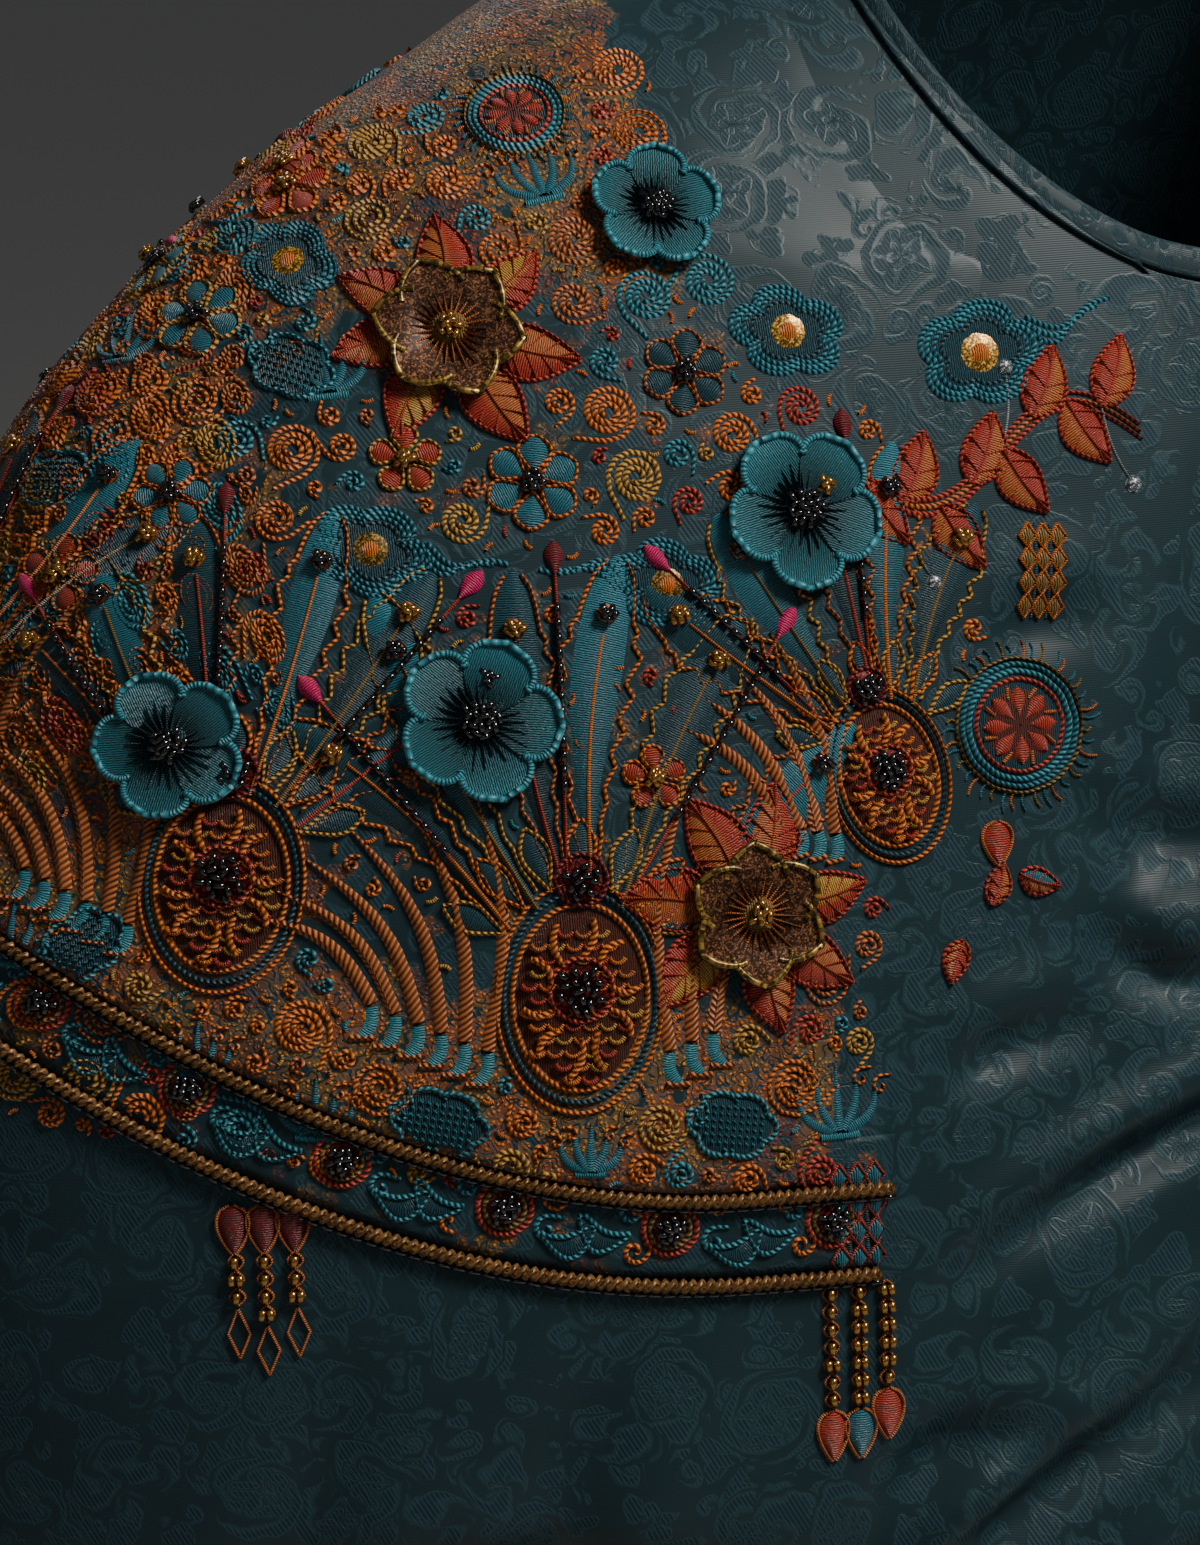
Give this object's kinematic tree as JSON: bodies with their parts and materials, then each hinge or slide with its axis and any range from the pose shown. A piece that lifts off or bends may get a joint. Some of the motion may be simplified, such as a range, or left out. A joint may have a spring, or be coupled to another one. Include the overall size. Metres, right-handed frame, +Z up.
{
  "type": "silk vest",
  "caption": "Worn sleeveless silk jacquard vest with dropped shoulders, two-tier embroidered shoulder caps, rope piping and covered buttons.",
  "frame": {"origin": "midway between the two points where the neckline meets the shoulder seams", "axes": "+Z up, -Y to the front, -X to the wearer's right"},
  "size_m": [0.544, 0.2423, 0.6505],
  "materials": {
    "silk": "dark teal silk jacquard",
    "rope": "twisted metallic thread",
    "blossom_silk": "satin stitch",
    "blossom_bronze": "glittering thread"
  },
  "bodies": {
    "root": {"front_left": "silk", "front_right": "silk", "back": "silk", "shoulder_cap_left": "silk", "lower_tier_left": "silk", "cap_piping_left": "rope", "tier_piping_left": "rope", "blossom_left_1": "blossom_silk", "blossom_left_2": "blossom_silk", "blossom_left_3": "blossom_bronze", "blossom_left_4": "blossom_silk", "blossom_left_5": "blossom_bronze", "blossom_left_6": "blossom_silk", "blossom_left_7": "blossom_silk", "blossom_left_8": "blossom_bronze", "blossom_left_9": "blossom_silk", "shoulder_cap_right": "silk", "lower_tier_right": "silk", "cap_piping_right": "rope", "tier_piping_right": "rope", "blossom_right_1": "blossom_silk", "blossom_right_2": "blossom_silk", "blossom_right_3": "blossom_bronze", "blossom_right_4": "blossom_silk", "blossom_right_5": "blossom_bronze", "blossom_right_6": "blossom_silk", "blossom_right_7": "blossom_silk", "blossom_right_8": "blossom_bronze", "blossom_right_9": "blossom_silk", "neck_band": "silk", "button_1": "silk", "button_2": "silk", "button_3": "silk", "button_4": "silk", "button_5": "silk"}
  },
  "joints": []
}
